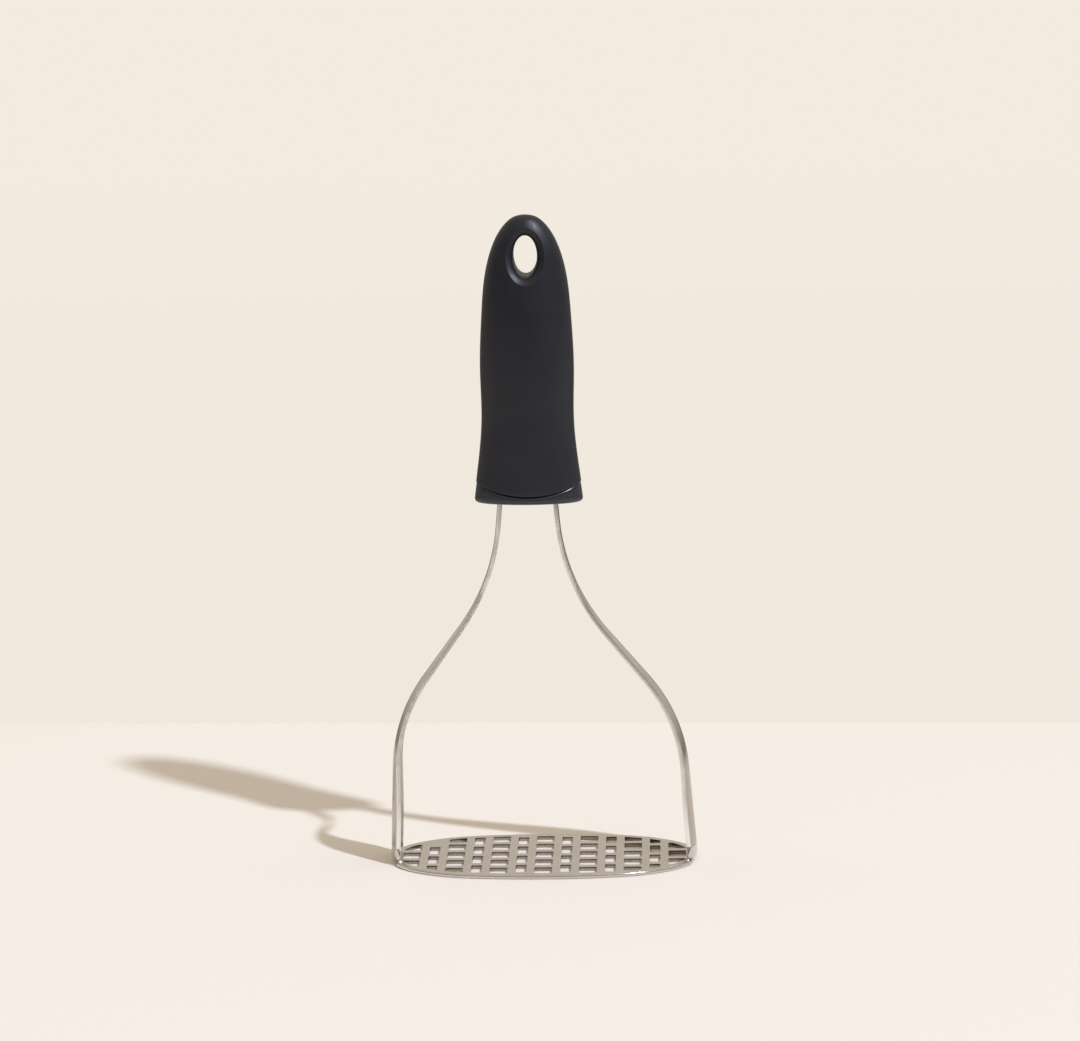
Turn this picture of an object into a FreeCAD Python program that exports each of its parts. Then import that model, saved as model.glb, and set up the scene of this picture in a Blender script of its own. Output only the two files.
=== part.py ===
import FreeCAD, Part
import math
import os
import re

import Sketcher

# Potato masher: a slotted oval plate, two cupped straps and an over-moulded handle.
# Millimetres, +Z up, +X along the plate, origin at the middle of the plate's underside.

Vector = FreeCAD.Vector
START, END, CENTRE = 1, 2, 3          # points of a line or arc in a sketch
ORIGIN, X_AXIS, Y_AXIS = -1, -1, -2   # a sketch's own origin and axes
RIGHT, LEFT = 1, -1
HALF_TURN, QUARTER_TURN = math.pi, math.pi / 2

doc = FreeCAD.newDocument("PotatoMasher")

# ---------------------------------------------------------------- driving dimensions

SIZES = [
    # the mashing plate
    ("sheet_thickness", 1.6, "stainless sheet of the plate and straps"),
    ("plate_half_length", 61.2, "middle of the plate to its end"),
    ("plate_half_width", 32.5, "middle of the plate to its long edge"),
    ("end_radius", 26.2, "outline arc at each end"),
    ("shoulder_radius", 45.0, "outline arc between end and side"),
    ("side_radius", 184.0, "outline arc along each long side"),
    ("rim_width", 3.3, "plain margin round the slots"),
    ("wide_slot_length", 7.0, "slot of a wide column, along X"),
    ("wide_slot_width", 8.8, "slot of a wide column, along Y"),
    ("wide_row_pitch", 12.1, "row spacing in a wide column"),
    ("narrow_slot_length", 4.2, "slot of a narrow column, along X"),
    ("narrow_slot_width", 10.8, "slot of a narrow column, along Y"),
    ("narrow_row_pitch", 14.3, "row spacing in a narrow column"),
    ("column_pitch", 17.6, "wide column to wide column"),
    ("slot_corner", 0.8, "corner radius of a slot"),
    ("blank_reach", 0.75, "reach of the unslotted patch, in sizes of the slot it covers"),
    # where the plate turns up into the straps
    ("bend_radius", 3.0, "outer radius of the upturned end"),
    ("foot_inset", 0.3, "how far the upturned end stands in from the outline"),
    ("foot_height", 7.0, "height of the seam between plate and strap"),
    ("foot_half_width", 11.4, "half width of the bent part of the plate's end"),
    ("foot_flare", 1.2, "fillet between the plate's rim and a foot's edge"),
    # the straps
    ("left_lean", 1.95, "left strap's lower lean towards the middle, degrees"),
    ("right_lean", 5.0, "right strap's lower lean towards the middle, degrees"),
    ("left_hip_height", 38.7, "where the left strap starts to curve inwards"),
    ("right_hip_height", 37.5, "where the right strap starts to curve inwards"),
    ("hip_radius", 64.5, "outward curve of a strap"),
    ("neck_radius", 78.5, "inward curve of a strap"),
    ("left_neck_height", 134.7, "where the left strap is straight again"),
    ("right_neck_height", 136.6, "where the right strap is straight again"),
    ("left_neck_gap", 13.25, "handle axis to the left strap's outer face at the neck"),
    ("right_neck_gap", 12.1, "handle axis to the right strap's outer face at the neck"),
    ("tang_lean", 5.1, "lean of a strap's straight top, degrees"),
    ("tang_top", 172.0, "top of the tang inside the handle"),
    ("strap_low_half", 10.7, "half width of a strap at its foot"),
    ("strap_high_half", 3.6, "half width of a strap at the handle"),
    ("taper_start", 16.0, "height where the strap starts to narrow"),
    ("taper_end", 113.0, "height where the strap has its upper width"),
    ("taper_radius", 120.0, "curves of the strap's tapering edges"),
    # the handle
    ("handle_offset", -4.05, "handle axis from the middle of the plate"),
    ("collar_edge", 1.8, "rounding of the collar's lower edge"),
    ("collar_step", 0.25, "how far the sleeve stands proud of the collar"),
    ("seam_low", 148.1, "lowest point of the seam between collar and sleeve"),
    ("seam_radius", 47.0, "curve of that seam, seen from the front"),
    ("seam_reach", 24.0, "half width of the seam's sketch, past the handle's sides"),
    ("skin", 3.0, "thickness of the soft sleeve"),
    ("slot_gap", 0.25, "clearance of a strap in its socket"),
    ("socket_overrun", 1.0, "how far a socket's sketch starts below the handle"),
    ("pin_radius", 1.5, "cross pin through each tang"),
    ("pin_height", 164.0, "height of the cross pins"),
    ("pin_inner", 5.5, "inner end of a pin from the handle axis"),
    ("pin_length", 10.5, "length of a pin"),
    # the hanging eye
    ("eye_height", 242.4, "middle of the hanging eye"),
    ("eye_half_width", 4.7, "half width of the hanging eye"),
    ("eye_half_height", 8.0, "half height of the hanging eye"),
    ("eye_lip", 2.2, "rounding of the hanging eye's rim"),
    ("eye_lining", 3.0, "thickness of the sleeve inside the eye"),
    # windows moulded in the core to keep its walls thin
    ("window_half_width", 7.0, "half width of a window, along X"),
    ("window_half_height", 4.0, "half height of a window, along Z"),
    ("window_first", 186.0, "middle of the lowest window"),
    ("window_pitch", 12.0, "spacing of the windows"),
]

# Handle sections from bottom to top: height, half width and half depth of the sleeve.
SECTIONS = [
    (144.75, 21.75, 10.0),
    (153.9, 20.55, 10.1),
    (163.5, 19.30, 10.3),
    (178.0, 18.12, 10.7),
    (198.0, 18.42, 11.5),
    (217.6, 17.62, 11.3),
    (233.3, 16.19, 9.8),
    (245.8, 13.00, 7.9),
    (252.2, 9.75, 6.2),
    (256.2, 6.20, 4.3),
    (258.2, 2.20, 1.8),
]
COLLAR_SECTIONS = range(0, 4)
CORE_SECTIONS = range(0, 9)
SLEEVE_SECTIONS = range(0, len(SECTIONS))

WIDE_COLUMNS, WIDE_ROWS = 7, 5
NARROW_COLUMNS, NARROW_ROWS = 6, 4
WINDOWS = 3
EDGE_ANGLES = (0, 22.5, 45, 67.5, 90)   # degrees round the collar's lower edge
OUTSIDE = 40.0   # safely past the edge of whatever a sketch trims
EYE_SLACK = 2.0   # how closely an edge has to match the hanging eye

sheet = doc.addObject("Spreadsheet::Sheet", "Sizes")
table = list(SIZES)
for number, section in enumerate(SECTIONS):
    for word, value in zip(("height", "half_width", "half_depth"), section):
        table.append(("section_%s_%d" % (word, number), value, "handle section %d" % number))
for row, (name, value, note) in enumerate(table, start=1):
    sheet.set("A%d" % row, name)
    sheet.set("B%d" % row, str(value))
    sheet.set("C%d" % row, note)
    sheet.setAlias("B%d" % row, name)
doc.recompute()
NAMES = {name for name, value, note in table}


def cells(text):
    """A formula in the sheet's names, written as the document's own expression."""
    return re.sub(r"[a-z]\w*", lambda word: "Sizes." * (word[0] in NAMES) + word[0], text)


def amount(text):
    """The present value of a formula in the sheet's names."""
    result = sheet.evalExpression(cells(text))
    return float(getattr(result, "Value", result))


# ---------------------------------------------------------------- sketch helpers

def new_body(name):
    body = doc.addObject("PartDesign::Body", name)
    body.Label = name
    return body


def datum(body, role):
    """One of the body's own origin planes or axes."""
    return next(item for item in body.Origin.OriginFeatures if item.Role == role)


def new_sketch(body, name, role, side=RIGHT, shift=None, lift=None):
    """A sketch on an origin plane; a left-hand one has its x pointing to the left."""
    sketch = body.newObject("Sketcher::SketchObject", name)
    sketch.AttachmentSupport = [(datum(body, role), "")]
    sketch.MapMode = "FlatFace"
    if side == LEFT:
        axis = Vector(0, 0, 1) if role == "XY_Plane" else Vector(0, 1, 0)
        sketch.AttachmentOffset = FreeCAD.Placement(Vector(), FreeCAD.Rotation(axis, 180))
    if shift:
        sketch.setExpression(".AttachmentOffset.Base.x", cells(shift))
    if lift:
        sketch.setExpression(".AttachmentOffset.Base.z", cells(lift))
    return sketch


def tie(sketch, kind, *where, to):
    """Add a dimension and bind it to the sheet."""
    value = amount(to)
    if kind == "Angle":
        value = math.radians(value)
    index = sketch.addConstraint(Sketcher.Constraint(kind, *where, value))
    unit = " * 1 deg" if kind == "Angle" else ""
    sketch.setExpression("Constraints[%d]" % index, "(" + cells(to) + ")" + unit)


def rule(sketch, kind, *where):
    """Add a constraint that has no size."""
    sketch.addConstraint(Sketcher.Constraint(kind, *where))


def line(sketch, start, end):
    return sketch.addGeometry(Part.LineSegment(Vector(*start, 0), Vector(*end, 0)), False)


def arc(sketch, centre, radius, first, last):
    """Arc from the first angle to the last, anticlockwise, in radians."""
    circle = Part.Circle(Vector(*centre, 0), Vector(0, 0, 1), radius)
    return sketch.addGeometry(Part.ArcOfCircle(circle, first, last), False)


def polar(centre, radius, angle):
    return (centre[0] + radius * math.cos(angle), centre[1] + radius * math.sin(angle))


def loop(sketch, corners):
    """A closed polygon; returns its lines, each starting at the corner of its number."""
    count = len(corners)
    lines = [line(sketch, corners[i], corners[(i + 1) % count]) for i in range(count)]
    for i in range(count):
        rule(sketch, "Coincident", lines[i], END, lines[(i + 1) % count], START)
    return lines


def place(sketch, item, point, x=None, y=None):
    """Hold a point of a line or arc at a distance from the sketch's origin."""
    if x:
        tie(sketch, "DistanceX", ORIGIN, START, item, point, to=x)
    if y:
        tie(sketch, "DistanceY", ORIGIN, START, item, point, to=y)


def rectangle(sketch, left, right, low, high):
    """An upright rectangle between four distances from the sketch's axes."""
    x0, x1, y0, y1 = (amount(text) for text in (left, right, low, high))
    bottom, outer, top, inner = loop(sketch, [(x0, y0), (x1, y0), (x1, y1), (x0, y1)])
    for level in (bottom, top):
        rule(sketch, "Horizontal", level)
    for upright in (inner, outer):
        rule(sketch, "Vertical", upright)
    place(sketch, bottom, START, x=left, y=low)
    place(sketch, top, START, x=right, y=high)


def circles_meet(first, first_radius, second, second_radius):
    """Where two circles cross, on the left of the way from the first to the second."""
    across, up = second[0] - first[0], second[1] - first[1]
    gap = math.hypot(across, up)
    along = (gap**2 + first_radius**2 - second_radius**2) / (2 * gap)
    aside = math.sqrt(first_radius**2 - along**2)
    return (first[0] + (across * along - up * aside) / gap,
            first[1] + (up * along + across * aside) / gap)


def oval(sketch, inset):
    """The plate's outline, moved in by inset: two ends, four shoulders, two sides."""
    end_at, side_at = amount("plate_half_length - end_radius"), amount("side_radius - plate_half_width")
    end_r, shoulder_r, side_r = (amount(n) for n in ("end_radius", "shoulder_radius", "side_radius"))
    shoulder = circles_meet((0, -side_at), side_r - shoulder_r, (end_at, 0), shoulder_r - end_r)
    low = math.atan2(-shoulder[1], end_at - shoulder[0])
    high = math.atan2(shoulder[1] + side_at, shoulder[0])
    x, y, cut = shoulder[0], shoulder[1], amount(inset)
    pieces = [  # centre, radius, first angle, last angle, anticlockwise from the right-hand end
        ((end_at, 0), end_r, -low, low),
        ((x, y), shoulder_r, low, high),
        ((0, -side_at), side_r, high, HALF_TURN - high),
        ((-x, y), shoulder_r, HALF_TURN - high, HALF_TURN - low),
        ((-end_at, 0), end_r, HALF_TURN - low, HALF_TURN + low),
        ((-x, -y), shoulder_r, HALF_TURN + low, HALF_TURN + high),
        ((0, side_at), side_r, HALF_TURN + high, -high),
        ((x, -y), shoulder_r, -high, -low),
    ]
    arcs = [arc(sketch, centre, radius - cut, a, b) for centre, radius, a, b in pieces]
    for here, there in zip(arcs, arcs[1:] + arcs[:1]):
        rule(sketch, "Tangent", here, END, there, START)
    right_end, top_right, top, top_left, left_end, low_left, bottom, low_right = arcs
    for end, sign in ((right_end, ""), (left_end, "-")):
        rule(sketch, "PointOnObject", end, CENTRE, X_AXIS)
        place(sketch, end, CENTRE, x=sign + "(plate_half_length - end_radius)")
    for side, sign in ((top, "-"), (bottom, "")):
        rule(sketch, "PointOnObject", side, CENTRE, Y_AXIS)
        place(sketch, side, CENTRE, y=sign + "(side_radius - plate_half_width)")
    tie(sketch, "Radius", right_end, to="end_radius - " + inset)
    tie(sketch, "Radius", top_right, to="shoulder_radius - " + inset)
    tie(sketch, "Radius", top, to="side_radius - " + inset)
    rule(sketch, "Equal", right_end, left_end)
    rule(sketch, "Equal", top, bottom)
    for shoulder_arc in (top_left, low_left, low_right):
        rule(sketch, "Equal", top_right, shoulder_arc)


def s_curve(sketch, start, lean, first_bend, first_radius, second_radius, end, end_lean, last_bend, top):
    """Straight, outward arc, straight, inward arc, straight: all sizes are formulas.

    start and end are distances from the sketch's y axis at the bottom and at the last bend;
    the two leans are the straight ends' slopes towards that axis, in degrees.
    """
    a, b = math.radians(amount(lean)), math.radians(amount(end_lean))
    r1, r2 = amount(first_radius), amount(second_radius)
    foot = (amount(start[0]), amount(start[1]))
    turn = amount(first_bend)
    p1 = (foot[0] - math.tan(a) * (turn - foot[1]), turn)
    p4 = (amount(end), amount(last_bend))
    c1, c2 = polar(p1, -r1, a), polar(p4, r2, b)
    gap = math.hypot(c2[0] - c1[0], c2[1] - c1[1])
    slope = math.atan2(c2[1] - c1[1], c2[0] - c1[0]) - math.acos((r1 + r2) / gap)
    rise = amount(top) - p4[1]
    low = line(sketch, foot, p1)
    hip = arc(sketch, c1, r1, a, slope)
    middle = line(sketch, polar(c1, r1, slope), polar(c2, -r2, slope))
    neck = arc(sketch, c2, r2, HALF_TURN + b, HALF_TURN + slope)
    high = line(sketch, p4, (p4[0] - math.tan(b) * rise, p4[1] + rise))
    rule(sketch, "Tangent", low, END, hip, START)
    rule(sketch, "Tangent", hip, END, middle, START)
    rule(sketch, "Tangent", middle, END, neck, END)
    rule(sketch, "Tangent", neck, START, high, START)
    place(sketch, low, START, *start)
    place(sketch, low, END, y=first_bend)
    tie(sketch, "Angle", low, to="90 + " + lean)
    tie(sketch, "Radius", hip, to=first_radius)
    tie(sketch, "Radius", neck, to=second_radius)
    place(sketch, high, START, x=end, y=last_bend)
    tie(sketch, "Angle", high, to="90 + " + end_lean)
    place(sketch, high, END, y=top)
    return low, high


def ellipse(sketch, half_width, half_height, height="0"):
    """An ellipse on the sketch's y axis, its sizes bound to the sheet."""
    across, up, level = amount(half_width), amount(half_height), amount(height)
    upright = up > across
    tip = Vector(0, level + up, 0) if upright else Vector(across, level, 0)
    flank = Vector(-across, level, 0) if upright else Vector(0, level + up, 0)
    curve = sketch.addGeometry(Part.Ellipse(tip, flank, Vector(0, level, 0)), False)
    sketch.exposeInternalGeometry(curve)
    major, minor = curve + 1, curve + 2
    rule(sketch, "PointOnObject", curve, CENTRE, Y_AXIS)
    rule(sketch, "Vertical" if upright else "Horizontal", major)
    place(sketch, curve, CENTRE, y=height)
    tie(sketch, "Distance", major, to="2 * " + (half_height if upright else half_width))
    tie(sketch, "Distance", minor, to="2 * " + (half_width if upright else half_height))


# ---------------------------------------------------------------- feature helpers

def pad(body, sketch, length):
    feature = body.newObject("PartDesign::Pad", sketch.Name + "_pad")
    feature.Profile = sketch
    feature.setExpression("Length", cells(length))
    return feature


def pocket(body, sketch, length=None):
    """Cut both ways from the sketch: to a total length, or through everything."""
    feature = body.newObject("PartDesign::Pocket", sketch.Name + "_pocket")
    feature.Profile = sketch
    feature.Midplane = True
    if length:
        feature.setExpression("Length", cells(length))
    else:
        feature.Type = "ThroughAll"
    return feature


def mirror(body, feature, role="XZ_Plane"):
    copy = body.newObject("PartDesign::Mirrored", feature.Name + "_mirrored")
    copy.Originals = [feature]
    copy.MirrorPlane = (datum(body, role), [""])
    body.Tip = copy
    return copy


def check_cut(feature, before):
    """A cut that missed the solid would leave its volume as it was."""
    if not before - feature.Shape.Volume > 1e-3:
        raise RuntimeError(feature.Name + " cut nothing")


def cut(body, sketch, length=None, mirrored=False):
    """Pocket a sketch, check that it removed something, and mirror it if asked."""
    doc.recompute()
    before = body.Shape.Volume
    feature = pocket(body, sketch, length)
    doc.recompute()
    check_cut(feature, before)
    return mirror(body, feature) if mirrored else feature


# ---------------------------------------------------------------- the mashing plate

def slot_grid(body, name, length, width, first_column, first_row, row_pitch, columns, rows):
    """Cut one rounded slot at the grid's corner and repeat it both ways."""
    x, y = amount(first_column), amount(first_row)
    dx, dy, r = amount(length) / 2, amount(width) / 2, amount("slot_corner")
    sketch = new_sketch(body, name, "XY_Plane")
    inner = [(x + dx - r, y + dy - r), (x - dx + r, y + dy - r),
             (x - dx + r, y - dy + r), (x + dx - r, y - dy + r)]
    arcs = [arc(sketch, centre, r, i * QUARTER_TURN, (i + 1) * QUARTER_TURN)
            for i, centre in enumerate(inner)]
    sides = []
    for i, kind in enumerate(("Horizontal", "Vertical", "Horizontal", "Vertical")):
        corners = (polar(inner[j % 4], r, (i + 1) * QUARTER_TURN) for j in (i, i + 1))
        sides.append(line(sketch, *corners))
        rule(sketch, kind, sides[i])
        rule(sketch, "Tangent", arcs[i], END, sides[i], START)
    for i in range(4):
        rule(sketch, "Tangent", sides[i - 1], END, arcs[i], START)
        if i:
            rule(sketch, "Equal", arcs[0], arcs[i])
    tie(sketch, "Radius", arcs[0], to="slot_corner")
    place(sketch, sides[3], START, x="%s + %s / 2" % (first_column, length))
    place(sketch, sides[1], START, x="%s - %s / 2" % (first_column, length))
    place(sketch, sides[0], START, y="%s + %s / 2" % (first_row, width))
    place(sketch, sides[2], START, y="%s - %s / 2" % (first_row, width))
    feature = pocket(body, sketch)
    doc.recompute()
    grid = body.newObject("PartDesign::LinearPattern", name + "_grid")
    grid.Originals = [feature]
    grid.Direction = (datum(body, "X_Axis"), [""])
    grid.setExpression("Length", cells("%d * column_pitch" % (columns - 1)))
    grid.Occurrences = columns
    grid.Direction2 = (datum(body, "Y_Axis"), [""])
    grid.setExpression("Length2", cells("%d * %s" % (rows - 1, row_pitch)))
    grid.Occurrences2 = rows
    body.Tip = grid


def turn_up(body, side):
    """Bend the plate's end up: take out the flat sheet there, then revolve the bent one."""
    word, lean = ("right", "right_lean") if side == RIGHT else ("left", "left_lean")
    r, t, a = amount("bend_radius"), amount("sheet_thickness"), math.radians(amount(lean))
    centre = (amount("end_radius - foot_inset - bend_radius"), r)
    shift = "%d * (plate_half_length - end_radius)" % side
    sector = "2 * asin(foot_half_width / end_radius)"

    gap = new_sketch(body, word + "_gap", "XZ_Plane", side, shift)
    rectangle(gap, "end_radius - foot_inset - bend_radius", "end_radius + bend_radius",
              "-sheet_thickness", "2 * sheet_thickness")
    groove = body.newObject("PartDesign::Groove", word + "_groove")
    groove.Profile = gap
    groove.ReferenceAxis = (gap, ["V_Axis"])
    groove.Midplane = True
    groove.setExpression("Angle", cells(sector))

    bend = new_sketch(body, word + "_bend", "XZ_Plane", side, shift)
    height = amount("foot_height")
    wall = "((bend_radius - (foot_height - bend_radius) * sin(%s)) / cos(%s))" % (lean, lean)
    top = centre[0] + amount(wall)
    outer = arc(bend, centre, r, -QUARTER_TURN, a)
    rise = line(bend, polar(centre, r, a), (top, height))
    rim = line(bend, (top, height), (top - t / math.cos(a), height))
    fall = line(bend, (top - t / math.cos(a), height), polar(centre, r - t, a))
    inner = arc(bend, centre, r - t, -QUARTER_TURN, a)
    close = line(bend, (centre[0], t), (centre[0], 0))
    rule(bend, "Tangent", outer, END, rise, START)
    rule(bend, "Coincident", rise, END, rim, START)
    rule(bend, "Coincident", rim, END, fall, START)
    rule(bend, "Tangent", fall, END, inner, END)
    rule(bend, "Coincident", inner, START, close, START)
    rule(bend, "Coincident", close, END, outer, START)
    rule(bend, "Coincident", outer, CENTRE, inner, CENTRE)
    rule(bend, "Horizontal", rim)
    rule(bend, "Vertical", close)
    rule(bend, "Parallel", rise, fall)
    rule(bend, "Vertical", outer, CENTRE, outer, START)
    place(bend, outer, CENTRE, x="end_radius - foot_inset - bend_radius", y="bend_radius")
    tie(bend, "Radius", outer, to="bend_radius")
    tie(bend, "Angle", rise, to="90 + " + lean)
    place(bend, rise, END, y="foot_height")
    tie(bend, "Radius", inner, to="bend_radius - sheet_thickness")
    revolve = body.newObject("PartDesign::Revolution", word + "_turn_up")
    revolve.Profile = bend
    revolve.ReferenceAxis = (bend, ["V_Axis"])
    revolve.Midplane = True
    revolve.setExpression("Angle", cells(sector))
    doc.recompute()


def make_plate():
    body = new_body("mashing_plate")
    web = new_sketch(body, "web", "XY_Plane")
    oval(web, "rim_width")
    pad(body, web, "sheet_thickness")
    doc.recompute()
    slot_grid(body, "wide_slots", "wide_slot_length", "wide_slot_width",
              "-%s * column_pitch" % ((WIDE_COLUMNS - 1) / 2),
              "-%s * wide_row_pitch" % ((WIDE_ROWS - 1) / 2),
              "wide_row_pitch", WIDE_COLUMNS, WIDE_ROWS)
    slot_grid(body, "narrow_slots", "narrow_slot_length", "narrow_slot_width",
              "-%s * column_pitch" % ((NARROW_COLUMNS - 1) / 2),
              "-%s * narrow_row_pitch" % ((NARROW_ROWS - 1) / 2),
              "narrow_row_pitch", NARROW_COLUMNS, NARROW_ROWS)
    fill_corner_slot(body)
    rim = new_sketch(body, "rim", "XY_Plane")
    oval(rim, "0")
    oval(rim, "rim_width")
    pad(body, rim, "sheet_thickness")
    doc.recompute()
    for side in (RIGHT, LEFT):
        turn_up(body, side)
    trim_feet(body)
    return body


def fill_corner_slot(body):
    """The outermost slot at the left rear is missing: close it with plain sheet."""
    column = "-%s * column_pitch" % ((NARROW_COLUMNS - 1) / 2)
    blank = new_sketch(body, "unslotted_corner", "XY_Plane")
    rectangle(blank, "%s - blank_reach * narrow_slot_length" % column,
              "%s + blank_reach * narrow_slot_length" % column,
              "narrow_row_pitch", "narrow_row_pitch + blank_reach * narrow_slot_width")
    pad(body, blank, "sheet_thickness")


def trim_feet(body):
    """Narrow both upturned ends to the straps' width, with a fillet down to the rim."""
    low, flare, sheet_top = (amount(n) for n in ("strap_low_half", "foot_flare", "sheet_thickness"))
    sketch = new_sketch(body, "foot_sides", "YZ_Plane")
    fillet = arc(sketch, (low + flare, sheet_top + flare), flare, HALF_TURN, HALF_TURN + QUARTER_TURN)
    top = 2 * amount("foot_height")
    corners = [(low + flare, sheet_top), (OUTSIDE, sheet_top), (OUTSIDE, top), (low, top),
               (low, sheet_top + flare)]
    floor, far, lid, edge = (line(sketch, *ends) for ends in zip(corners, corners[1:]))
    rule(sketch, "Tangent", edge, END, fillet, START)
    rule(sketch, "Tangent", fillet, END, floor, START)
    for here, there in ((floor, far), (far, lid), (lid, edge)):
        rule(sketch, "Coincident", here, END, there, START)
    for kind, item in (("Horizontal", floor), ("Vertical", far), ("Horizontal", lid), ("Vertical", edge)):
        rule(sketch, kind, item)
    tie(sketch, "Radius", fillet, to="foot_flare")
    place(sketch, edge, START, x="strap_low_half", y="2 * foot_height")
    place(sketch, floor, END, x=str(OUTSIDE), y="sheet_thickness")
    cut(body, sketch, mirrored=True)


# ---------------------------------------------------------------- the straps

def make_strap(side):
    """Sweep the cupped section up the strap's curve, then taper it and drill its tang."""
    word, lean = ("right", "right_lean") if side == RIGHT else ("left", "left_lean")
    body = new_body(word + "_strap")
    wall = "((bend_radius - (foot_height - bend_radius) * sin({0})) / cos({0}))".format(lean)
    foot_x = "plate_half_length - foot_inset - bend_radius + " + wall
    offset = "%d * handle_offset" % side

    path = new_sketch(body, word + "_path", "XZ_Plane", side)
    s_curve(path, (foot_x, "foot_height"), lean, word + "_hip_height", "hip_radius", "neck_radius",
            "%s_neck_gap + %s" % (word, offset), "tang_lean", word + "_neck_height", "tang_top")

    middle = amount("plate_half_length - end_radius")
    outer_r = amount(foot_x) - middle
    inner_r = outer_r - amount("sheet_thickness / cos(%s)" % lean)
    half = amount("foot_half_width")
    section = new_sketch(body, word + "_section", "XY_Plane", side, lift="foot_height")
    outer_turn, inner_turn = math.asin(half / outer_r), math.asin(half / inner_r)
    outer = arc(section, (middle, 0), outer_r, -outer_turn, outer_turn)
    inner = arc(section, (middle, 0), inner_r, -inner_turn, inner_turn)
    ends = [(polar((middle, 0), outer_r, sign * outer_turn), polar((middle, 0), inner_r, sign * inner_turn))
            for sign in (1, -1)]
    back = line(section, ends[0][0], ends[0][1])
    front = line(section, ends[1][1], ends[1][0])
    rule(section, "Coincident", outer, END, back, START)
    rule(section, "Coincident", back, END, inner, END)
    rule(section, "Coincident", inner, START, front, START)
    rule(section, "Coincident", front, END, outer, START)
    rule(section, "Coincident", outer, CENTRE, inner, CENTRE)
    rule(section, "PointOnObject", outer, CENTRE, X_AXIS)
    rule(section, "Horizontal", back)
    rule(section, "Horizontal", front)
    place(section, outer, CENTRE, x="plate_half_length - end_radius")
    place(section, back, START, y="foot_half_width")
    place(section, front, END, y="-foot_half_width")
    cup = "end_radius - foot_inset - bend_radius + " + wall
    tie(section, "Radius", outer, to=cup)
    tie(section, "Radius", inner, to="%s - sheet_thickness / cos(%s)" % (cup, lean))

    doc.recompute()
    sweep = body.newObject("PartDesign::AdditivePipe", word + "_sweep")
    sweep.Profile = section
    sweep.Spine = path
    sweep.Mode = "Frenet"
    doc.recompute()

    taper = new_sketch(body, word + "_taper", "YZ_Plane")
    low, high = s_curve(taper, ("strap_low_half", "-foot_height"), "0", "taper_start", "taper_radius",
                        "taper_radius", "strap_high_half", "0", "taper_end", "2 * tang_top")
    corners = [(amount("strap_high_half"), amount("2 * tang_top")), (OUTSIDE, amount("2 * tang_top")),
               (OUTSIDE, -amount("foot_height")), (amount("strap_low_half"), -amount("foot_height"))]
    lid, far, floor = (line(taper, *ends) for ends in zip(corners, corners[1:]))
    for here, there in ((high, lid), (lid, far), (far, floor), (floor, low)):
        rule(taper, "Coincident", here, END, there, START)
    rule(taper, "Horizontal", lid)
    rule(taper, "Horizontal", floor)
    rule(taper, "Vertical", far)
    place(taper, lid, END, x=str(OUTSIDE))
    cut(body, taper, mirrored=True)

    hole = new_sketch(body, word + "_pin_hole", "YZ_Plane")
    pin_circle(hole)
    cut(body, hole)
    return body


def pin_circle(sketch):
    """The pin's circle, on the middle plane at the pins' height."""
    spot = Vector(0, amount("pin_height"), 0)
    circle = sketch.addGeometry(Part.Circle(spot, Vector(0, 0, 1), amount("pin_radius")), False)
    rule(sketch, "PointOnObject", circle, CENTRE, Y_AXIS)
    place(sketch, circle, CENTRE, y="pin_height")
    tie(sketch, "Radius", circle, to="pin_radius")


def make_pin(side):
    """A plain dowel that locks one tang into the core."""
    word = "right" if side == RIGHT else "left"
    pin = doc.addObject("Part::Cylinder", word + "_strap_pin")
    pin.Label = word + "_strap_pin"
    pin.setExpression("Radius", cells("pin_radius"))
    pin.setExpression("Height", cells("pin_length"))
    pin.Placement = FreeCAD.Placement(Vector(), FreeCAD.Rotation(Vector(0, 1, 0), 90 * side))
    pin.setExpression(".Placement.Base.x", cells("handle_offset + %d * pin_inner" % side))
    pin.setExpression(".Placement.Base.z", cells("pin_height"))
    return pin


# ---------------------------------------------------------------- the handle

def stops(sections, inset):
    """Height, half width and half depth of the handle's sections, moved in by inset."""
    return [("section_height_%d" % number,
             "(section_half_width_%d - %s)" % (number, inset),
             "(section_half_depth_%d - %s)" % (number, inset)) for number in sections]


def oval_loft(body, name, levels, ruled=False):
    """A solid through level ellipses, each a height, a half width and a half depth."""
    sketches = []
    for number, (height, half_width, half_depth) in enumerate(levels):
        sketch = new_sketch(body, "%s_%d" % (name, number), "XY_Plane", lift=height)
        ellipse(sketch, "(%s)" % half_width, "(%s)" % half_depth)
        sketches.append(sketch)
    doc.recompute()
    loft = body.newObject("PartDesign::AdditiveLoft", name + "_loft")
    loft.Profile = sketches[0]
    loft.Sections = sketches[1:]
    loft.Ruled = ruled
    doc.recompute()
    return loft


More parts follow.
